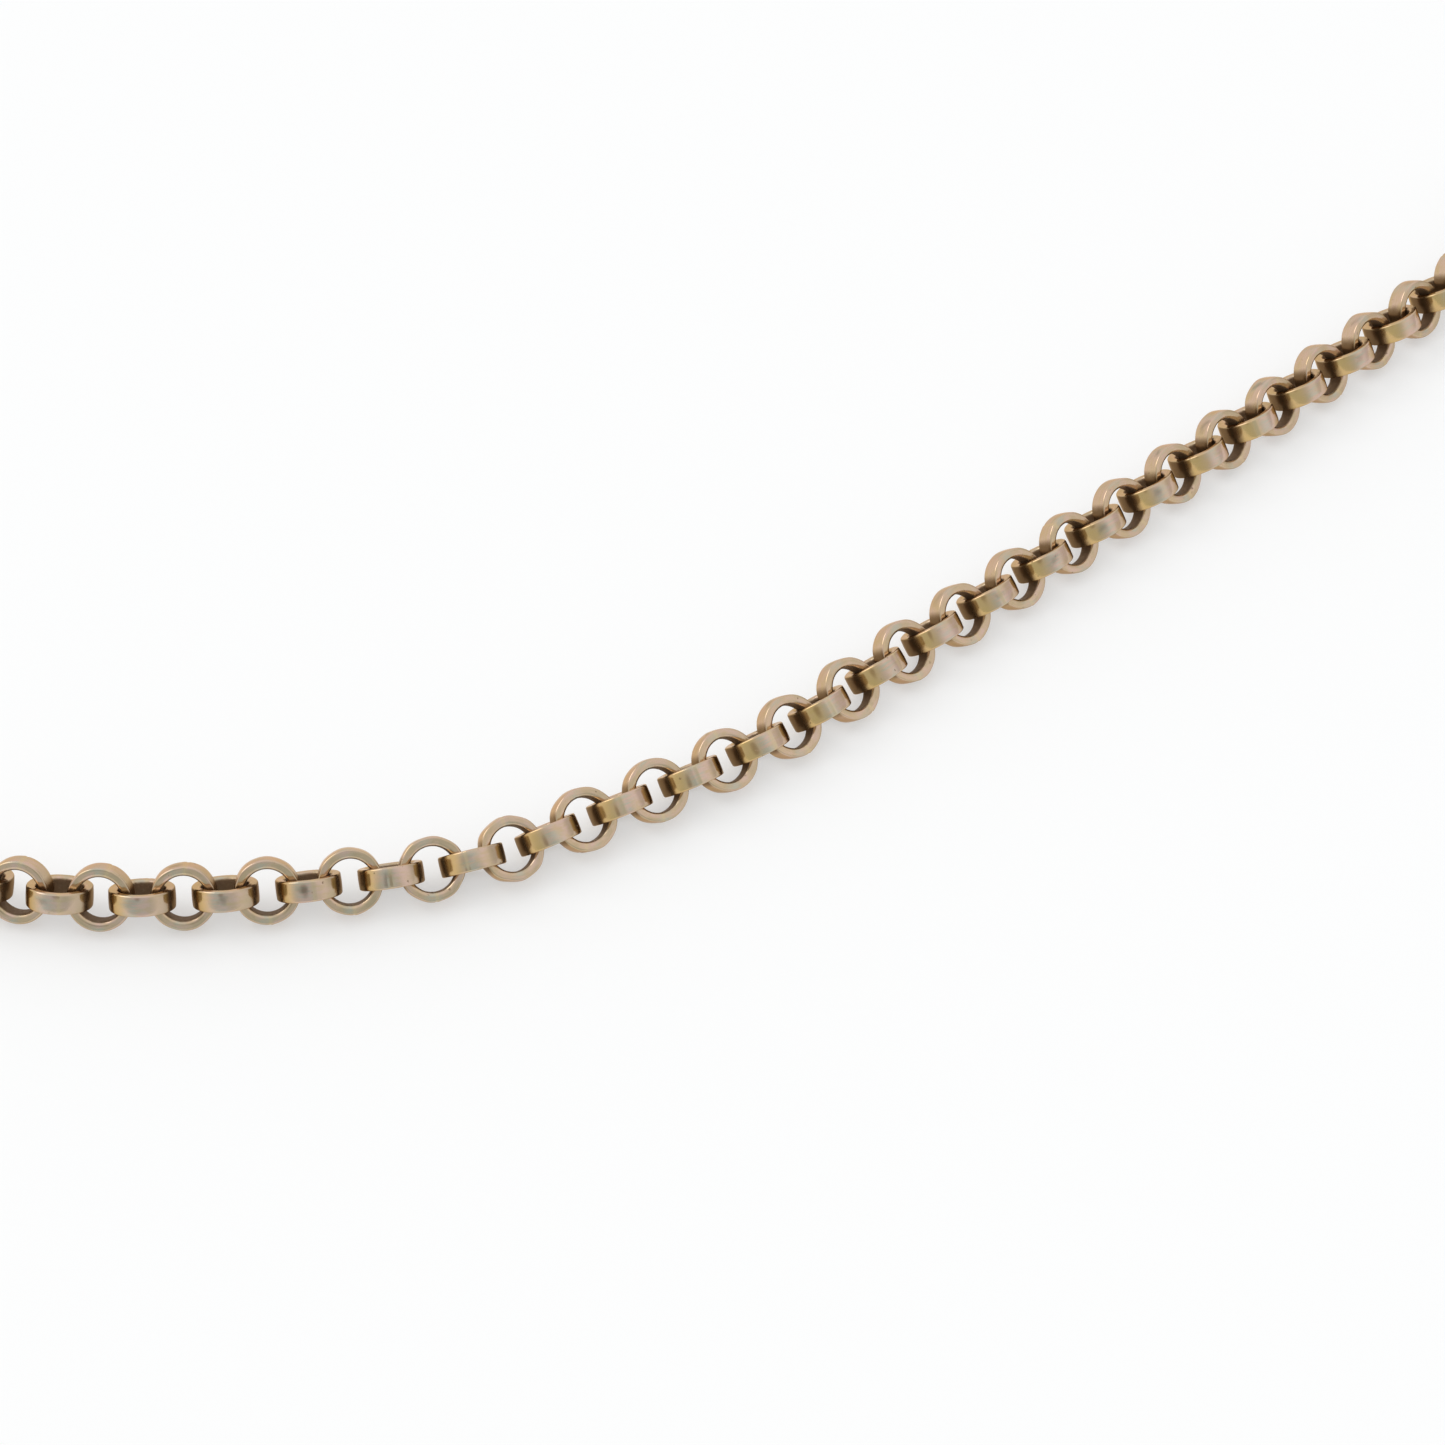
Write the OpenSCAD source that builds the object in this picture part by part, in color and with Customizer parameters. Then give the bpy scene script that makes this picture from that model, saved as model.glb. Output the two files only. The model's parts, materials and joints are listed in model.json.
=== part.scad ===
// Pocket watch chain. Belcher links, rings of flat band, run between a swivel clip that takes
// the watch and a T-bar that holds in a buttonhole. The chain lies on a table in one long easy
// bend, each link rolled a quarter turn from its neighbours.
// Millimetres, +Z up, the table at Z = 0, the origin under the middle of the layout.

/* [Links] */
// Outer diameter of a link
link_d = 7; // [6:0.1:9]
// Radial thickness of the band that a link is made of
band_t = 1.05; // [0.8:0.05:1.2]
// Width of the band
band_w = 2.3; // [1.6:0.05:2.6]
// Rounding of the band's inner edges
inner_edge = 0.45; // [0.3:0.05:0.55]
// Rounding of the band's outer edges
outer_edge = 0.18; // [0.1:0.02:0.3]
// Clearance between neighbouring links
link_play = 0.26; // [0.2:0.02:0.5]

/* [Lay] */
// Links to the left of the middle link
left_links = 25; // [20:1:27]
// Links to the right of the middle link
right_links = 24; // [20:1:27]
// Roll of every link about the chain from the even lie of 45 degrees each way
even_roll = 0; // [-5:1:5]

/* [Jump rings] */
// Wire of the two jump rings
ring_wire = 1.1; // [0.8:0.05:1.3]
// Hole of a jump ring
ring_hole = 4; // [3.8:0.1:5]
// Clearance where a jump ring hangs in its link
ring_play = 0.6; // [0.5:0.05:0.9]
// Clearance where an eye hangs in its jump ring
eye_play = 0.2; // [0.1:0.05:0.4]

/* [Swivel clip] */
// Wire of the eyes on the swivel and on the T-bar
eye_wire = 1.2; // [0.9:0.05:1.4]
// Hole of those eyes
eye_hole = 2.6; // [2.4:0.1:3.4]
// Stem that turns in the barrel
stem_d = 1.3; // [1:0.05:1.6]
// Rivet head that holds the stem in the barrel
head_d = 2.3; // [1.9:0.05:2.5]
// Thickness of that head
head_t = 1; // [0.6:0.05:1.4]
// Radial clearance of what turns in the clip
swivel_fit = 0.1; // [0.05:0.01:0.15]
// Diameter of the barrel
barrel_d = 4; // [3.6:0.1:4.6]
// Length of the barrel
barrel_l = 5.4; // [4.6:0.1:7]
// Hole of the clip's loop, for the bow of the watch
loop_hole = 7.2; // [6.4:0.1:9]
// Radial thickness of the loop
loop_t = 1.7; // [1.5:0.05:2]
// Thickness of the loop across its flat sides
loop_h = 2.4; // [2:0.1:3]
// Rounding of the loop's edges
loop_edge = 0.5; // [0.2:0.05:0.6]
// Wire of the beads round both ends of the barrel
bead_d = 0.5; // [0.3:0.05:0.7]
// Pin that the gate turns on
pin_d = 0.9; // [0.7:0.05:1]
// Knuckle round the pin
knuckle_d = 2.3; // [2:0.1:2.5]
// Thickness of the gate's tang between the cheeks
tang_t = 1; // [0.8:0.05:1.2]
// Clearance of the tang, the gate's ends and the pin
gate_fit = 0.06; // [0.04:0.01:0.1]
// Thickness of the leaf spring behind the gate
leaf_t = 0.2; // [0.15:0.01:0.3]

/* [T-bar] */
// Length of the bar over its round ends
bar_l = 26; // [20:0.5:34]
// Diameter of the bar
bar_d = 2.5; // [2.2:0.1:3.2]
// Waist of the bar inside the eye's collar
waist_d = 1.7; // [1.4:0.05:1.8]
// Length of the waist
waist_l = 2.4; // [2:0.1:4]
// Spigot that joins the two halves of the bar
spigot_d = 1.1; // [0.8:0.05:1.2]
// Length of the spigot beyond the waist
spigot_l = 4; // [2:0.5:6]
// Diameter of the eye's collar on the waist
collar_d = 3; // [2.8:0.1:3.6]
// Clearance of the collar on the waist
collar_fit = 0.06; // [0.04:0.01:0.12]

/* [Hidden] */
$fn = 48;

// Heading of the chain in degrees at some links, counted from the middle link
lay_heading = [
    [-25, -44], [-21, -27], [-17, -19], [-14, -16], [-11, 2], [-8, 0], [-5, 7], [-2, 15],
    [1, 13], [11, 14], [24, 15]
];
// Roll of the chain in degrees at some links
lay_roll = [[-25, -16], [-19, -12], [-13, 4], [-1, 1], [11, -9], [24, -15]];

first = -left_links;
last = right_links;
link_r = link_d / 2;
bore_r = link_r - band_t;
// A hoop is the circle at the middle of a ring's rounded inner edge: its radius, its distance
// from the ring's middle plane and the radius of that rounding
link_hoop = [bore_r + inner_edge, band_w / 2 - inner_edge, inner_edge];
ring_hoop = [(ring_hole + ring_wire) / 2, 0, ring_wire / 2];
eye_hoop = [(eye_hole + eye_wire) / 2, 0, eye_wire / 2];
eye_out = eye_hoop[0] + eye_hoop[2];
pitch = taut(link_hoop, link_hoop, link_play);
ring_pitch = taut(link_hoop, ring_hoop, ring_play);
eye_pitch = taut(ring_hoop, eye_hoop, eye_play);

// How far a cut or a joined rod runs past a face, in millimetres or degrees
over = 1;

// Along the clip, from the middle of the eye
barrel_gap = 0.3;
barrel_wall = 1.5;
barrel_x = eye_out + barrel_gap;
beads_x = [barrel_x + bead_d, barrel_x + barrel_l - bead_d];
head_x = barrel_x + barrel_wall;
loop_r = loop_hole / 2;
loop_out = loop_r + loop_t;
loop_mid = loop_r + loop_t / 2;
loop_x = barrel_x + barrel_l + loop_out;
shoulder_l = loop_t - loop_edge;
clip_reach = loop_x + loop_out;
// Round the loop, in degrees from the clip's far end, and from the hinge
full_turn = 360;
gate_tip = 68;
hinge_at = 150;
tang = 18;
heel = 22;
leaf_from = 16;
pocket = 28;
leaf_seat = 8;
// The knuckle stands flush with the hole and proud of the outside
hinge_r = loop_r + knuckle_d / 2;
hinge_x = loop_x + hinge_r * cos(hinge_at);
hinge_y = hinge_r * sin(hinge_at);
// From the hinge to the tip of the gate, and how far that tip laps behind the nose of the hook
tip_r = norm(hinge_r * way(hinge_at) - loop_mid * way(gate_tip));
lap = 0.6;
// Across the hinge
pocket_floor = 0.5;
leaf_rise = 0.3;
tang_inset = 0.2;
tight_fit = 0.02;
pocket_r = loop_r + pocket_floor;
leaf_r = loop_mid + leaf_rise;

// Across the T-bar, from the middle of its eye
eye_reach = eye_hoop[0] + collar_d / 2;
collar_w = waist_l - 2 * collar_fit;
spigot_end = 0.2;

// Both ends slope down from their links to the table: the clip until its loop or its last bead
// touches, the T-bar until its eye touches, from where its collar falls on to the table
reach = ring_pitch + eye_pitch;
clip_slope = asin(min(
    (rest_z(first) - loop_h / 2) / (reach + clip_reach),
    (rest_z(first) - (barrel_d + bead_d) / 2) / (reach + beads_x[1])
));
bar_slope = asin((rest_z(last) - eye_out) / reach);
bar_fall = asin((eye_out - collar_d / 2) / eye_reach);

// Corners of the layout, seen from above
outline = concat(
    [for (j = [first : last], s = [-1, 1]) place(j) + s * [link_r, link_r]],
    [for (s = [-1, 1]) clip_end() + s * [loop_out, loop_out]],
    [for (side = [-1, 1], s = [-1, 1]) bar_end(side) + s * [bar_d, bar_d] / 2]
);
origin = [for (axis = [0, 1]) (min([for (p = outline) p[axis]]) + max([for (p = outline) p[axis]])) / 2];

link_names = [for (j = [first : last]) link_name(j)];
clip_names = ["clip_jump_ring", "swivel_eye", "clip_hook", "clip_gate", "gate_pin", "gate_spring"];
bar_names = ["bar_jump_ring", "t_bar_eye", "t_bar", "t_bar_sleeve"];

// Distance between the middles of two rings that hang in each other a quarter turn apart,
// pulled out until their rounded inner edges are the clearance apart
function taut(a, b, gap) =
    let (
        ca = sqrt(a[0] * a[0] - b[1] * b[1]),
        cb = sqrt(b[0] * b[0] - a[1] * a[1]),
        ka = ca / a[0],
        kb = cb / b[0],
        skew = sqrt(kb * kb + ka * ka * (1 - kb * kb)) / (ka * kb)
    )
    ca + cb - (a[2] + b[2] + gap) * skew;

function heading(j) = lookup(j, lay_heading);
function roll(j) = even_roll + lookup(j, lay_roll);
function way(angle) = [cos(angle), sin(angle)];

// Middle of link j on the table, walked outward from the middle link
function place(j) =
    j == 0 ? [0, 0]
    : let (inward = j - sign(j))
        place(inward) + sign(j) * pitch * way((heading(j) + heading(inward)) / 2);

// Turn of link j about the chain, one way on even links and the other way on odd ones
function tilt(j) = (j % 2 == 0 ? 45 : -45) - roll(j);

// How far a link reaches below its middle when its axis stands at an angle to the table
function drop(angle) =
    (link_r - outer_edge) * cos(angle) + (band_w / 2 - outer_edge) * sin(angle) + outer_edge;
function rest_z(j) = max(drop(45 + roll(j)), drop(45 - roll(j)));

// Ends of the layout, for the origin
function outward(j) = heading(j) + (j < 0 ? 180 : 0);
function clip_end() =
    place(first) + (reach + loop_x) * cos(clip_slope) * way(outward(first));
function bar_end(side) =
    place(last) + (reach * cos(bar_slope) + eye_reach * cos(bar_fall)) * way(outward(last))
    + side * (bar_l - bar_d) / 2 * way(outward(last) + 90);

function two_digits(n) = str(n < 10 ? "0" : "", n);
function link_name(j) =
    j == 0 ? "middle_link" : str(j < 0 ? "left" : "right", "_link_", two_digits(abs(j)));

// Puts its children at the middle of link j, with X along the chain
module on_chain(j) {
    translate([each place(j) - origin, rest_z(j)])
        rotate(heading(j))
            children();
}

// Puts its children on the line that runs outward and down from an end link
module past_end(j, slope, distance) {
    translate([each place(j) - origin, rest_z(j)])
        rotate([0, slope, outward(j)])
            translate([distance, 0, 0])
                children();
}

module on_clip() {
    past_end(first, clip_slope, reach)
        children();
}

module on_bar() {
    past_end(last, bar_slope, reach)
        rotate([0, bar_fall - bar_slope, 0])
            children();
}

module wire_ring(hoop) {
    rotate_extrude()
        translate([hoop[0], 0])
            circle(hoop[2]);
}

// Section of the band, with its own rounding on the inner and the outer edges
module band_section() {
    middle_t = band_t - inner_edge - outer_edge;
    translate([bore_r + inner_edge, -band_w / 2])
        square([middle_t, band_w]);
    translate([bore_r, inner_edge - band_w / 2])
        square([inner_edge + middle_t / 2, band_w - 2 * inner_edge]);
    translate([link_r - outer_edge - middle_t / 2, outer_edge - band_w / 2])
        square([outer_edge + middle_t / 2, band_w - 2 * outer_edge]);
    for (side = [-1, 1]) {
        translate([bore_r + inner_edge, side * (band_w / 2 - inner_edge)])
            circle(inner_edge);
        translate([link_r - outer_edge, side * (band_w / 2 - outer_edge)])
            circle(outer_edge);
    }
}

module link(j) {
    color([0.80, 0.64, 0.50])
        on_chain(j)
            rotate([tilt(j), 0, 0])
                rotate_extrude()
                    band_section();
}

// Turns its flat children round the clip's loop between two angles
module round_loop(from, to) {
    translate([loop_x, 0, 0])
        rotate(from)
            rotate_extrude(angle = to - from)
                children();
}

// An arc with a radial range and a thickness, square in section
module loop_arc(from, to, inner, outer, thick) {
    round_loop(from, to)
        translate([inner, -thick / 2])
            square([outer - inner, thick]);
}

// An arc of the loop itself, with rounded edges
module loop_bar(from, to) {
    flat_h = loop_h - 2 * loop_edge;
    flat_t = loop_t - 2 * loop_edge;
    round_loop(from, to) {
        translate([loop_r + loop_edge, -loop_h / 2])
            square([flat_t, loop_h]);
        translate([loop_r, -flat_h / 2])
            square([loop_t, flat_h]);
        for (radius = [loop_r + loop_edge, loop_out - loop_edge], side = [-1, 1])
            translate([radius, side * flat_h / 2])
                circle(loop_edge);
    }
}

module at_hinge(d, h) {
    translate([hinge_x, hinge_y, 0])
        cylinder(d = d, h = h, center = true);
}

module rod_x(from, to, d) {
    translate([from, 0, 0])
        rotate([0, 90, 0])
            cylinder(d = d, h = to - from);
}

module clip_jump_ring() {
    color([0.78, 0.60, 0.46])
        past_end(first, clip_slope, ring_pitch)
            rotate([-tilt(first - 1), 0, 0])
                wire_ring(ring_hoop);
}

module swivel_eye() {
    color([0.80, 0.63, 0.48])
        on_clip() {
            rotate([-tilt(first - 2), 0, 0])
                wire_ring(eye_hoop);
            rod_x(eye_hoop[0], head_x + swivel_fit + head_t, stem_d);
            rod_x(head_x + swivel_fit, head_x + swivel_fit + head_t, head_d);
        }
}

// The space on the gate's side of the loop, inside a radius, that lies within a distance of the hinge.
// Cut this way, the gate's tip swings past the nose.
module near_hinge(reach, outer) {
    intersection() {
        loop_arc(gate_tip - tang, hinge_at, loop_r - over, outer, loop_h + over);
        at_hinge(2 * reach, loop_h + over);
    }
}

// The leaf spring, or with a clearance the slit that grips its far end
module leaf(fit) {
    loop_arc(
        hinge_at + leaf_from, hinge_at + pocket + leaf_seat,
        leaf_r - fit, leaf_r + leaf_t + fit, tang_t + 2 * fit
    );
}

// Barrel and loop of the clip, slotted at the hinge for the tang and the spring
module clip_hook() {
    slot_h = tang_t + 2 * gate_fit;
    color([0.80, 0.63, 0.48])
        on_clip()
            difference() {
                union() {
                    rod_x(barrel_x, barrel_x + barrel_l, barrel_d);
                    for (x = beads_x)
                        translate([x, 0, 0])
                            rotate([0, 90, 0])
                                wire_ring([barrel_d / 2, 0, bead_d / 2]);
                    translate([barrel_x + barrel_l, 0, 0])
                        rotate([0, 90, 0])
                            cylinder(d1 = barrel_d, d2 = loop_h, h = shoulder_l);
                    difference() {
                        loop_bar(hinge_at, full_turn + gate_tip + tang);
                        near_hinge(tip_r - lap, loop_out + over);
                        near_hinge(tip_r + gate_fit, loop_mid);
                    }
                    at_hinge(knuckle_d, loop_h);
                }
                rod_x(barrel_x - over, head_x + over, stem_d + 2 * swivel_fit);
                rod_x(head_x, head_x + head_t + 2 * swivel_fit, head_d + 2 * swivel_fit);
                at_hinge(knuckle_d + 2 * gate_fit, slot_h);
                at_hinge(pin_d, loop_h + over);
                loop_arc(hinge_at, hinge_at + pocket, pocket_r, loop_out + over, slot_h);
                leaf(tight_fit);
            }
}

module clip_gate() {
    color([0.76, 0.58, 0.44])
        on_clip()
            difference() {
                union() {
                    difference() {
                        intersection() {
                            loop_bar(gate_tip - tang, hinge_at);
                            union() {
                                near_hinge(tip_r - lap - gate_fit, loop_out + over);
                                near_hinge(tip_r, loop_mid - gate_fit);
                            }
                        }
                        at_hinge(knuckle_d + 2 * gate_fit, loop_h + over);
                    }
                    loop_arc(
                        hinge_at - tang, hinge_at,
                        loop_r + tang_inset, loop_out - tang_inset, tang_t
                    );
                    at_hinge(knuckle_d - tang_inset, tang_t);
                    loop_arc(hinge_at, hinge_at + heel, pocket_r + gate_fit, leaf_r - gate_fit, tang_t);
                }
                at_hinge(pin_d + 2 * gate_fit, loop_h + over);
            }
}

module gate_pin() {
    color([0.70, 0.54, 0.40])
        on_clip()
            at_hinge(pin_d - 2 * tight_fit, loop_h);
}

module gate_spring() {
    color([0.62, 0.62, 0.60])
        on_clip()
            leaf(0);
}

module bar_jump_ring() {
    color([0.78, 0.60, 0.46])
        past_end(last, bar_slope, ring_pitch)
            rotate([tilt(last + 1), 0, 0])
                wire_ring(ring_hoop);
}

// A rod along the bar's axis between two distances from the bar's middle
module bar_rod(from, to, d) {
    translate([eye_reach, from, 0])
        rotate([-90, 0, 0])
            cylinder(d = d, h = to - from);
}

module t_bar_eye() {
    color([0.80, 0.63, 0.48])
        on_bar()
            difference() {
                union() {
                    rotate([90, 0, 0])
                        wire_ring(eye_hoop);
                    bar_rod(-collar_w / 2, collar_w / 2, collar_d);
                }
                bar_rod(-bar_l, bar_l, waist_d + 2 * collar_fit);
            }
}

// One half of the bar, from the waist to its round end, on the side given by the sign
module bar_half(side) {
    straight = bar_l / 2 - bar_d / 2;
    mirror([0, side < 0 ? 1 : 0, 0]) {
        bar_rod(waist_l / 2, straight, bar_d);
        translate([eye_reach, straight, 0])
            sphere(d = bar_d);
    }
}

module t_bar() {
    color([0.80, 0.64, 0.50])
        on_bar() {
            bar_half(1);
            bar_rod(-waist_l / 2, waist_l / 2 + over, waist_d);
            bar_rod(-waist_l / 2 - spigot_l, 0, spigot_d);
        }
}

module t_bar_sleeve() {
    color([0.80, 0.64, 0.50])
        on_bar()
            difference() {
                bar_half(-1);
                bar_rod(-waist_l / 2 - spigot_l - spigot_end, 0, spigot_d + 2 * tight_fit);
            }
}

for (j = [first : last])
    link(j);
clip_jump_ring();
swivel_eye();
clip_hook();
clip_gate();
gate_pin();
gate_spring();
bar_jump_ring();
t_bar_eye();
t_bar();
t_bar_sleeve();
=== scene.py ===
import bpy
import json
import math
import numpy as np
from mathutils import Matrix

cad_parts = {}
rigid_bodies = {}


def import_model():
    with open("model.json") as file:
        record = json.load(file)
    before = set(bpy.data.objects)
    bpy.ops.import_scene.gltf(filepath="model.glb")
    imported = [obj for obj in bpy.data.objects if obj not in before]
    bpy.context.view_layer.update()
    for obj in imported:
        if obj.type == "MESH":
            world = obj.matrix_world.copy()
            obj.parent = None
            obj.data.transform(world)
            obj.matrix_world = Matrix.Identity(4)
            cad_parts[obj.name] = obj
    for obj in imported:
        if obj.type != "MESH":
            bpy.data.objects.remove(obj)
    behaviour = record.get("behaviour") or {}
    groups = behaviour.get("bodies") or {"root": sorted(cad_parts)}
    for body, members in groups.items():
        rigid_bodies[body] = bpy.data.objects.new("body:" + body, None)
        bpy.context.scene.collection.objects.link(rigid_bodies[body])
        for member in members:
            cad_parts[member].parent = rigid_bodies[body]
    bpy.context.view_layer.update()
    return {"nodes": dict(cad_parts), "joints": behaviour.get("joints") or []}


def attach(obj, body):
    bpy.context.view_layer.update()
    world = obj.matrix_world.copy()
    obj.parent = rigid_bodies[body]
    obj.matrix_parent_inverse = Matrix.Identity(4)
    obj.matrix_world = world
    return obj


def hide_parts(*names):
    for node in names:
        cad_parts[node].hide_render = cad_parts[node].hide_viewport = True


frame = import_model()
print("frame loaded:", len(frame["nodes"]), "nodes")

mm = 0.001


# one shader socket, so that shader maths reads as plain expressions
class Shade:
    def __init__(self, tree, socket):
        self.tree = tree
        self.socket = socket

    # any node: its type, its settings (set first), then values or links for its sockets
    def add(self, kind, settings=None, inputs=None, out=0):
        node = self.tree.nodes.new(kind)
        for key, value in (settings or {}).items():
            setattr(node, key, value)
        for key, value in (inputs or {}).items():
            if isinstance(value, Shade):
                self.tree.links.new(value.socket, node.inputs[key])
            else:
                node.inputs[key].default_value = value
        return Shade(self.tree, node.outputs[out])

    def math(self, operation, first, second=0.0):
        return self.add("ShaderNodeMath", {"operation": operation}, {0: first, 1: second})

    def __add__(self, other):
        return self.math("ADD", self, other)

    def __radd__(self, other):
        return self.math("ADD", other, self)

    def __sub__(self, other):
        return self.math("SUBTRACT", self, other)

    def __rsub__(self, other):
        return self.math("SUBTRACT", other, self)

    def __mul__(self, other):
        return self.math("MULTIPLY", self, other)

    def __rmul__(self, other):
        return self.math("MULTIPLY", other, self)

    def step(self, low, high):  # smooth step from 0 at low to 1 at high
        return self.add("ShaderNodeMapRange", {"interpolation_type": "SMOOTHSTEP"},
                        {0: self, 1: low, 2: high, 3: 0.0, 4: 1.0})

    def bell(self, middle, width):  # 1 at the middle, falling to 0 a width away on both sides
        return 1 - self.math("ABSOLUTE", self - middle).step(0.0, width)

    def mix(self, low, high):  # colour between two colours, by this value
        return self.add("ShaderNodeMix", {"data_type": "RGBA"}, {0: self, 6: low, 7: high}, 2)


def newMaterial(name):
    material = bpy.data.materials.new(name)
    material.use_nodes = True
    tree = material.node_tree
    surface = tree.nodes["Principled BSDF"]
    return material, Shade(tree, None), surface


def feed(tree, surface, **sockets):
    for key, value in sockets.items():
        socket = surface.inputs[key.replace("_", " ")]
        if isinstance(value, Shade):
            tree.links.new(value.socket, socket)
        else:
            socket.default_value = value


def rgb(red, green, blue):
    return (red, green, blue, 1)


goldLook = {
    "rose": rgb(0.61, 0.44, 0.36), "straw": rgb(0.56, 0.42, 0.27), "olive": rgb(0.61, 0.41, 0.14),
    "patina": rgb(0.47, 0.46, 0.38), "slate": rgb(0.17, 0.15, 0.11), "solder": rgb(0.62, 0.49, 0.29),
    "bronze": rgb(0.45, 0.365, 0.24), "amber": rgb(0.185, 0.110, 0.050),
    "umber": rgb(0.150, 0.085, 0.042), "edge": rgb(0.86, 0.68, 0.50),
    "rough": 0.12, "roughFine": 0.08, "roughGrimeAndShade": 0.46,
    "dullGrimeAndShade": 0.6,                                # share of the metal's mirror that grime and painted shade take
    "fine": 2600.0, "pit": 900.0, "blotch": 420.0,   # spots per metre
    "bump": 0.25, "bumpDeep": 0.06,                  # strength, and depth in mm
    "bumpFine": 0.03, "bumpSwell": 1.2, "bumpPit": 0.4,
}
# where each kind of wear, painted reflection and painted shade starts and where it is full: by noise from
# 0 to 1, by the place along the link from -1 to 1 or, for a bell, as its middle and its width
wearAndPaintedLightRange = {
    "strawPatch": (0.40, 0.62), "strawInside": (0.30, 0.60), "bronzeInside": (0.46, 0.66),
    "leftSide": (-0.18, -0.72), "rightSide": (0.20, 0.80),
    "patinaBell": (-0.14, 0.42), "patinaStreak": (0.38, 0.60),
    "darkReflectionBell": (0.0, 0.24), "darkReflectionRise": (0.35, 0.7), "darkReflectionTone": (0.25, 1.0),
    "bandEnd": (0.80, 0.95), "inside": (0.55, 0.92),
    "strawFitting": (0.30, 0.58), "grimeFitting": (0.62, 0.80),
    "pitCell": (0.16, 0.10), "pitFine": (0.52, 0.58),
}
# how much of each kind covers what lies under it
wearAndPaintedLightShare = {
    "strawInside": 0.8, "bronzeInside": 0.6, "sideAll": 0.2, "sideOutside": 0.55, "patina": 0.7,
    "darkReflection": 0.5, "solder": 0.6, "bandEnd": 0.3, "grimeFitting": 0.4, "grimeAndShade": 0.94, "pit": 0.6,
}
# how far noise carries the borders of the wear and of the painted reflections and shade; the dark painted
# reflection also lies a little left of the link's middle
wearAndPaintedLightStray = {
    "blotch": 1.2, "tone": 0.4, "side": 0.3, "patina": 0.4, "darkReflection": 0.5, "darkReflectionMood": 1.4, "darkReflectionLeft": 0.24,
    "bandEnd": 0.06, "inside": 0.3,
}
# noise on a ring, in spots across its radius; the streaks are thin across the band
wearGrain = {"blotch": 2.6, "swell": 2.0, "mood": 0.3, "streak": 1.7, "streakThin": 7.0, "streakShare": 0.4}


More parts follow.
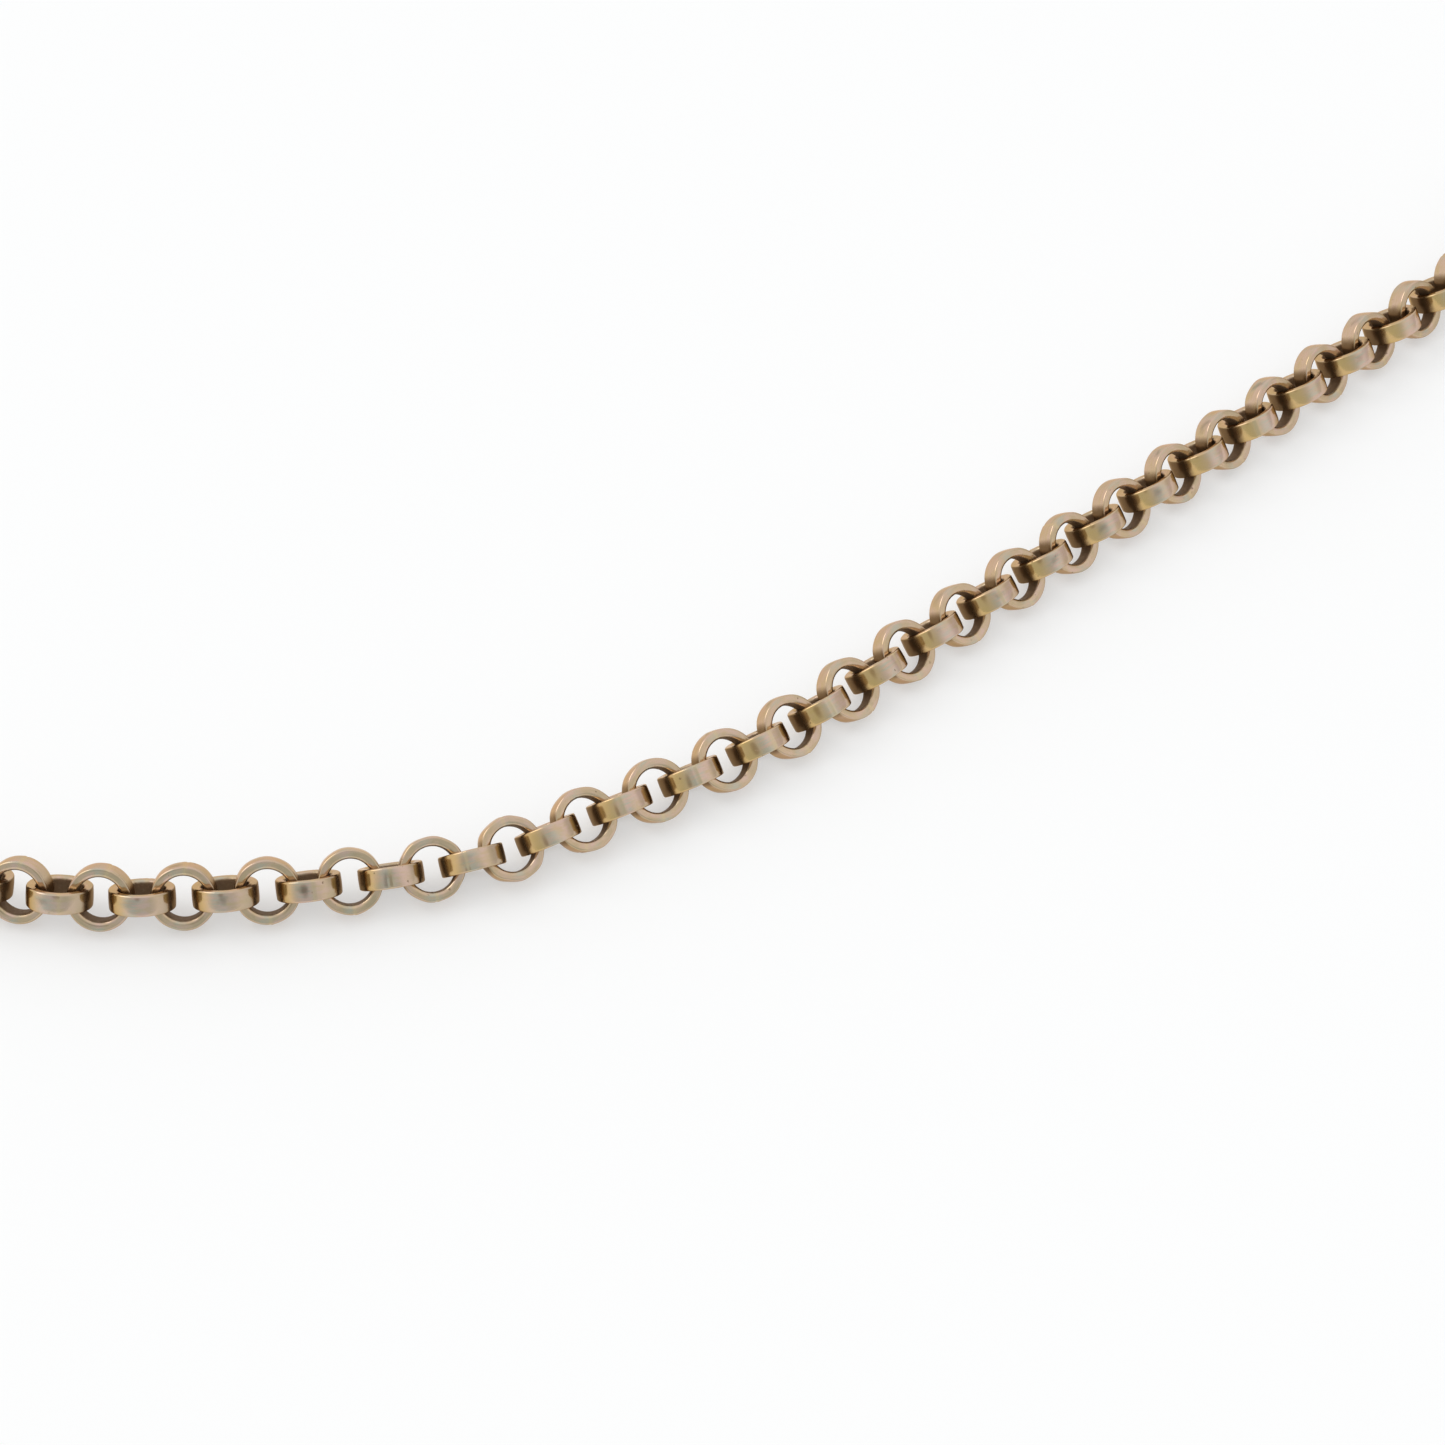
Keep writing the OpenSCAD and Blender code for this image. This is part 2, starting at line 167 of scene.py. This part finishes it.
# worn gold: rose and straw patches with pits and a fine grain; on a link also streaks round the ring,
# an olive painted reflection on its left and a bronze painted reflection on its right, grey-green patina
# and a slate painted reflection of a dark thing between them, solder at the seam, amber painted shade with
# some grime at the band's ends and brown painted shade with grime on the inner wall of the ring
def goldMetal(name, look, onLink):
    material, s, surface = newMaterial(name)
    place = s.add("ShaderNodeTexCoord", out=3)

    def noise(at, scale, detail=3.0, rough=0.55):
        return s.add("ShaderNodeTexNoise", None, {0: at, 2: scale, 3: detail, 4: rough})

    def carried(attribute, out=2):
        return s.add("ShaderNodeAttribute", {"attribute_name": attribute}, out=out)

    fine = noise(place, look["fine"], 4.0, 0.65)
    if onLink:
        lap = carried("lap", 1)
        along, rise, outside, deep, seam, tone, leftReflection = (
            carried(a) for a in ("along", "rise", "outside", "deep", "seam", "tone", "leftReflection"))
        blotch = noise(lap, wearGrain["blotch"])
        swell = noise(lap, wearGrain["swell"], 1.0)
        mood = noise(lap, wearGrain["mood"], 0.0)      # nearly the same all over one ring
        thin = s.add("ShaderNodeMapping", None, {0: lap, 3: (1.0, 1.0, wearGrain["streakThin"])})
        streak = noise(thin, wearGrain["streak"], 4.0, 0.6)
        patch = blotch * (1 - wearGrain["streakShare"]) + streak * wearGrain["streakShare"]
        colour = patch.step(*wearAndPaintedLightRange["strawPatch"]).mix(look["rose"], look["straw"])
        for metal in ("straw", "bronze"):
            inside = (1 - outside) * streak.step(*wearAndPaintedLightRange[metal + "Inside"]) * wearAndPaintedLightShare[metal + "Inside"]
            colour = inside.mix(colour, look[metal])
        wander = (blotch - 0.5) * wearAndPaintedLightStray["blotch"] + (tone - 0.5) * wearAndPaintedLightStray["tone"]
        # painted reflection: olive over each link's left side, stronger on the outer face
        left = (along + wander * wearAndPaintedLightStray["side"]).step(*wearAndPaintedLightRange["leftSide"])
        right = (along + wander * wearAndPaintedLightStray["side"]).step(*wearAndPaintedLightRange["rightSide"])
        side = wearAndPaintedLightShare["sideAll"] + outside * wearAndPaintedLightShare["sideOutside"]
        colour = (left * side * leftReflection).mix(colour, look["olive"])
        # painted reflection: bronze over each link's right side, stronger on the outer face
        colour = (right * side).mix(colour, look["bronze"])
        grey = (along + wander * wearAndPaintedLightStray["patina"]).bell(*wearAndPaintedLightRange["patinaBell"])
        grey = grey * streak.step(*wearAndPaintedLightRange["patinaStreak"])
        colour = (grey * wearAndPaintedLightShare["patina"]).mix(colour, look["patina"])
        # painted reflection of a dark thing: a slate patch a little left of the middle, on the upper half of
        # the outer face
        darkReflection = along + wearAndPaintedLightStray["darkReflectionLeft"] + wander * wearAndPaintedLightStray["darkReflection"]
        darkReflection = darkReflection + (mood - 0.5) * wearAndPaintedLightStray["darkReflectionMood"]
        darkReflection = darkReflection.bell(*wearAndPaintedLightRange["darkReflectionBell"]) * (rise + wander).bell(*wearAndPaintedLightRange["darkReflectionRise"])
        darkReflection = darkReflection * outside * tone.step(*wearAndPaintedLightRange["darkReflectionTone"])
        colour = (darkReflection * wearAndPaintedLightShare["darkReflection"]).mix(colour, look["slate"])
        colour = (seam * wearAndPaintedLightShare["solder"]).mix(colour, look["solder"])
        # painted shade with some grime: amber at both ends of the outer face, where the band lies inside its
        # neighbours' holes
        ends = s.math("ABSOLUTE", along + wander * wearAndPaintedLightStray["bandEnd"])
        ends = outside * ends.step(*wearAndPaintedLightRange["bandEnd"])
        colour = ends.mix(colour, look["amber"])
        # painted shade with grime: brown on the inner wall of the ring
        inside = (deep + (fine - 0.5) * wearAndPaintedLightStray["inside"]).step(*wearAndPaintedLightRange["inside"])
        grimeAndShade = s.math("MAXIMUM", inside, ends * wearAndPaintedLightShare["bandEnd"])
    else:
        blotch = noise(place, look["blotch"])
        swell = noise(place, look["blotch"], 1.0)
        colour = blotch.step(*wearAndPaintedLightRange["strawFitting"]).mix(look["rose"], look["straw"])
        grimeAndShade = blotch.step(*wearAndPaintedLightRange["grimeFitting"]) * wearAndPaintedLightShare["grimeFitting"]
    cells = s.add("ShaderNodeTexVoronoi", None, {0: place, 2: look["pit"]})
    pit = cells.step(*wearAndPaintedLightRange["pitCell"]) * fine.step(*wearAndPaintedLightRange["pitFine"])
    # umber where the painted shade and grime lie, and in the pits
    dirtAndShade = s.math("MAXIMUM", grimeAndShade * wearAndPaintedLightShare["grimeAndShade"], pit * wearAndPaintedLightShare["pit"])
    colour = dirtAndShade.mix(colour, look["umber"])
    height = fine * look["bumpFine"] + swell * look["bumpSwell"] - pit * look["bumpPit"]
    bump = s.add("ShaderNodeBump", None,
                 {"Strength": look["bump"], "Distance": look["bumpDeep"] * mm, "Height": height})
    rough = look["rough"] + fine * look["roughFine"] + dirtAndShade * look["roughGrimeAndShade"]
    feed(s.tree, surface, Base_Color=colour, Metallic=1 - dirtAndShade * look["dullGrimeAndShade"],
         Specular_Tint=look["edge"], Roughness=rough, Normal=bump)
    return material


steelLook = {
    **goldLook,
    "rose": rgb(0.50, 0.50, 0.48), "straw": rgb(0.40, 0.40, 0.39),
    "umber": rgb(0.12, 0.10, 0.09), "edge": rgb(0.75, 0.75, 0.74),
}
linkGold = goldMetal("link gold", goldLook, True)
fittingGold = goldMetal("fitting gold", goldLook, False)
springSteel = goldMetal("spring steel", steelLook, False)
print("materials made")


# a closed grid of points as a mesh: rows wrap round, columns wrap round
def gridMesh(name, points, attributes=None):
    rows, columns = points.shape[:2]
    index = np.arange(rows * columns).reshape(rows, columns)
    right = np.roll(index, -1, axis=1)
    quads = np.stack([index, right, np.roll(right, -1, axis=0), np.roll(index, -1, axis=0)], axis=-1)
    mesh = bpy.data.meshes.new(name)
    mesh.vertices.add(rows * columns)
    mesh.vertices.foreach_set("co", points.reshape(-1).astype(np.float32))
    count = rows * columns
    mesh.loops.add(count * 4)
    mesh.loops.foreach_set("vertex_index", quads.reshape(-1).astype(np.int32))
    mesh.polygons.add(count)
    mesh.polygons.foreach_set("loop_start", np.arange(0, count * 4, 4, dtype=np.int32))
    mesh.polygons.foreach_set("use_smooth", np.ones(count, dtype=bool))
    mesh.update(calc_edges=True)
    for key, values in (attributes or {}).items():
        wide = values.ndim == 3
        layer = mesh.attributes.new(key, "FLOAT_VECTOR" if wide else "FLOAT", "POINT")
        values = values if wide else np.broadcast_to(values, (rows, columns))
        layer.data.foreach_set("vector" if wide else "value", values.reshape(-1).astype(np.float32))
    mesh.validate()
    piece = bpy.data.objects.new(name, mesh)
    bpy.context.scene.collection.objects.link(piece)
    return piece


# in mm where nothing else is said
linkForm = {
    "inner": 2.45, "outer": 3.5, "wide": 2.3,
    "innerEdge": 0.45, "outerEdge": 0.20,
    "crown": 0.05,             # swell of the band's outer face
    "oval": 0.006,             # out of round, as a share of the radius
    "uneven": 0.01,            # change of the band's width, as a share of it
    "dent": 0.025, "dentWaves": (2, 3, 5, 8), "dentSlant": 0.4,
    "seamSpread": 0.25,        # in radians round the ring, as are all the places and widths at the seam
    "groove": 0.05, "grooveWide": 0.022,
    "lump": 0.03, "lumpAt": 0.08, "lumpWide": 0.06,
    "solderAt": 0.04, "solderWide": 0.07,
    "turns": 112, "edgeSteps": 7, "sideSteps": 6,
    "leftReflection": (1.0, 0.3),     # strength of the olive painted reflection on the left: on the links that show their edge, and on those that show their face
    "lapTube": 0.3, "lapSpread": 40.0,   # noise place: the ring as a thin tube, and each ring's own offset
    "deepest": 0.9,            # painted shade and grime value on the inner wall
}
rng = np.random.default_rng(7)
phase = 6.28   # a wave starts anywhere in one turn


# section of the band: straight sides joined by quarter circles, walked anticlockwise from the inner wall.
# Gives each point's radius and its height along the link's axis.
def bandSection(form):
    half = form["wide"] / 2
    parts = []
    for radius, height, edge, start in (
        (form["inner"], -half, form["innerEdge"], 180), (form["outer"], -half, form["outerEdge"], 270),
        (form["outer"], half, form["outerEdge"], 0), (form["inner"], half, form["innerEdge"], 90),
    ):
        angle = np.radians(start + np.linspace(0, 90, form["edgeSteps"]))
        inward = edge if radius == form["inner"] else -edge
        parts.append(np.stack([radius + inward + edge * np.cos(angle),
                               height - np.sign(height) * edge + edge * np.sin(angle)], axis=1))
    gaps = np.linspace(0, 1, form["sideSteps"])[1:-1, None]
    filled = []
    for part, after in zip(parts, parts[1:] + parts[:1]):
        filled += [part, part[-1] + (after[0] - part[-1]) * gaps]
    section = np.concatenate(filled)
    radius, height = section.T
    outside = np.clip((radius - form["outer"] + form["outerEdge"]) / form["outerEdge"], 0, 1)
    radius = radius + form["crown"] * outside * (1 - (height / half) ** 2)
    return radius, height


# ring: the section carried round a circle about the link's axis, with a little out-of-round,
# shallow dents from a few long waves, and a soldered seam as a narrow groove beside a low lump
def linkRing(name, centre, axis, along, leftReflection, form):
    radius, height = bandSection(form)
    turn = np.linspace(0, 2 * np.pi, form["turns"], endpoint=False)[:, None]
    waves = sum(
        rng.normal() * np.cos(k * turn + rng.uniform(0, phase) + rng.normal() * form["dentSlant"] * height)
        for k in form["dentWaves"]
    ) * form["dent"] / 2
    seamAt = rng.choice([0.5, 1.5]) * np.pi + rng.normal() * form["seamSpread"]
    offset = (turn - seamAt + np.pi) % (2 * np.pi) - np.pi
    seam = -form["groove"] * np.exp(-(offset / form["grooveWide"]) ** 2)
    seam = seam + form["lump"] * np.exp(-((offset - form["lumpAt"]) / form["lumpWide"]) ** 2)
    share = np.clip((radius - form["inner"]) / (form["outer"] - form["inner"]), 0, 1)
    full = radius * (1 + form["oval"] * np.cos(2 * turn + rng.uniform(0, phase))) + (waves + seam) * share
    up = np.cross(axis, along)
    points = (full[..., None] * (np.cos(turn)[..., None] * along + np.sin(turn)[..., None] * up)
              + (height * (1 + form["uneven"] * np.cos(3 * turn)))[..., None] * axis)
    points = centre + points * mm
    # deep: 1 on the inner wall, where the material puts painted shade with grime
    deep = np.clip((form["inner"] + form["innerEdge"] - radius) / form["innerEdge"], 0, 1)
    outside = np.clip((radius - form["outer"] + form["outerEdge"]) / form["outerEdge"] * 2 - 1, 0, 1)
    walked = np.cumsum(np.hypot(np.diff(radius, prepend=radius[-1]), np.diff(height, prepend=height[-1])))
    around = 2 * np.pi * walked / walked[-1]
    out, high = 1 + form["lapTube"] * np.cos(around), form["lapTube"] * np.sin(around)
    lap = np.stack(np.broadcast_arrays(np.cos(turn) * out, np.sin(turn) * out, high), axis=-1)
    lap = lap + rng.uniform(-form["lapSpread"], form["lapSpread"], 3)
    return gridMesh(name, points[:, ::-1], {
        "lap": lap[:, ::-1], "along": np.cos(turn), "rise": height[::-1] / form["wide"] * 2,
        "deep": deep[::-1] * form["deepest"], "outside": outside[::-1],
        "seam": np.exp(-((offset - form["solderAt"]) / form["solderWide"]) ** 2),
        "tone": np.full((1, 1), rng.uniform()),
        "leftReflection": np.full((1, 1), leftReflection),
    })


hub = {}
for joint in frame["joints"]:
    hub.setdefault(joint["parent"], (np.array(joint["pos_m"]), np.array(joint["axis"])))
order = [f"left_link_{n:02d}" for n in range(25, 0, -1)] + ["middle_link"]
order += [f"right_link_{n:02d}" for n in range(1, 25)]
walk = ["clip_jump_ring"] + order + ["bar_jump_ring"]
for number, (before, name, after) in enumerate(zip(walk, order, walk[2:])):
    centre, axis = hub[name]
    axis = axis / np.linalg.norm(axis) * (1 if axis[2] > 0 else -1)
    along = hub[after][0] - hub[before][0]
    along = along - axis * (along @ axis)
    along = along / np.linalg.norm(along)
    ring = linkRing("ring_" + name, centre, axis, along, linkForm["leftReflection"][number % 2], linkForm)
    ring.data.materials.append(linkGold)
    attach(ring, name)
    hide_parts(name)
print("links made:", len(order))

for name in ("clip_jump_ring", "swivel_eye", "clip_hook", "clip_gate", "gate_pin", "gate_spring",
             "bar_jump_ring", "t_bar_eye", "t_bar", "t_bar_sleeve"):
    node = frame["nodes"][name]
    node.data.materials.clear()
    node.data.materials.append(springSteel if name == "gate_spring" else fittingGold)
print("fittings finished")


tableLook = {"size": 3.0, "white": rgb(0.97, 0.97, 0.97), "rough": 0.9, "below": 0.02, "glow": 0.4}
half = tableLook["size"] / 2
tableMesh = bpy.data.meshes.new("table")
corners = ((-1, -1), (1, -1), (1, 1), (-1, 1))
corners = [(x * half, y * half, -tableLook["below"] * mm) for x, y in corners]
tableMesh.from_pydata(corners, [], [(0, 1, 2, 3)])
table = bpy.data.objects.new("table", tableMesh)
bpy.context.scene.collection.objects.link(table)
tablePaint, s, surface = newMaterial("table white")
feed(s.tree, surface, Base_Color=tableLook["white"], Roughness=tableLook["rough"], Specular_IOR_Level=0.0)
# part of the white is a glow that only the camera, mirrors and glass see, as on a backlit sheet
rays = [s.add("ShaderNodeLightPath", out=f"Is {ray} Ray") for ray in ("Camera", "Glossy", "Transmission")]
seen = s.math("MAXIMUM", s.math("MAXIMUM", rays[0], rays[1]), rays[2])
matt = Shade(s.tree, surface.outputs[0])
white = s.add("ShaderNodeEmission", None, {"Color": rgb(1, 1, 1), "Strength": 1.0})
paint = s.add("ShaderNodeMixShader", None, {0: seen * tableLook["glow"], 1: matt, 2: white})
feed(s.tree, s.tree.nodes["Material Output"], Surface=paint)
tableMesh.materials.append(tablePaint)

# a white light tent, dimmer in front and on the right, with a dark opening where the camera looks in,
# and one soft lamp from behind on the left
lightLook = {
    "tent": 0.98,
    "front": rgb(0.66, 0.72, 0.73), "frontAt": (-0.48, -0.853, 0.208), "frontWide": (64.0, 22.0),
    "right": rgb(0.75, 0.74, 0.74), "rightAt": (0.992, -0.087, 0.087), "rightWide": (40.0, 12.0),
    "dark": rgb(0.42, 0.41, 0.39), "darkAt": (-0.557, -0.663, 0.50), "darkWide": (12.0, 4.0),
    "lamp": 0.40, "lampSpread": 34.0, "lampFrom": (-0.69, 0.72, 1.0),
}
world = bpy.data.worlds.new("light tent")
bpy.context.scene.world = world
world.use_nodes = True
s = Shade(world.node_tree, None)
toward = s.add("ShaderNodeTexCoord", out=0)


# 1 toward a direction, falling smoothly to 0 between the inner and the outer angle
def spot(direction, wide):
    direction = np.array(direction) / np.linalg.norm(direction)
    cosine = s.add("ShaderNodeVectorMath", {"operation": "DOT_PRODUCT"},
                   {0: toward, 1: tuple(direction)}, 1)
    return cosine.step(math.cos(math.radians(wide[0])), math.cos(math.radians(wide[1])))


tent = rgb(1, 1, 1)
for side in ("front", "right", "dark"):
    tent = spot(lightLook[side + "At"], lightLook[side + "Wide"]).mix(tent, lightLook[side])
feed(s.tree, world.node_tree.nodes["Background"], Color=tent, Strength=lightLook["tent"])


def aim(piece, direction):
    direction = np.array(direction) / np.linalg.norm(direction)
    flat = math.hypot(direction[0], direction[1])
    piece.rotation_euler = (math.atan2(flat, -direction[2]), 0, math.atan2(-direction[0], direction[1]))


lamp = bpy.data.objects.new("softbox", bpy.data.lights.new("softbox", "SUN"))
lamp.data.energy = lightLook["lamp"]
lamp.data.angle = math.radians(lightLook["lampSpread"])
aim(lamp, [-v for v in lightLook["lampFrom"]])
bpy.context.scene.collection.objects.link(lamp)

view = {
    "turn": -28.67, "drop": 45.97, "distance": 428.75, "target": (-19.6, -15.82, 3.4),
    "lens": 96.63, "sensor": 36.0, "nearest": 10.0,
}
turn, drop = math.radians(view["turn"]), math.radians(view["drop"])
forward = np.array([-math.sin(turn) * math.cos(drop), math.cos(turn) * math.cos(drop), -math.sin(drop)])
camera = bpy.data.objects.new("camera", bpy.data.cameras.new("camera"))
camera.data.sensor_width = view["sensor"]
camera.data.lens = view["lens"]
camera.data.clip_start = view["nearest"] * mm
camera.location = (np.array(view["target"]) - view["distance"] * forward) * mm
aim(camera, forward)
bpy.context.scene.collection.objects.link(camera)
bpy.context.scene.camera = camera
bpy.context.scene.view_settings.view_transform = "Standard"
print("stage set")
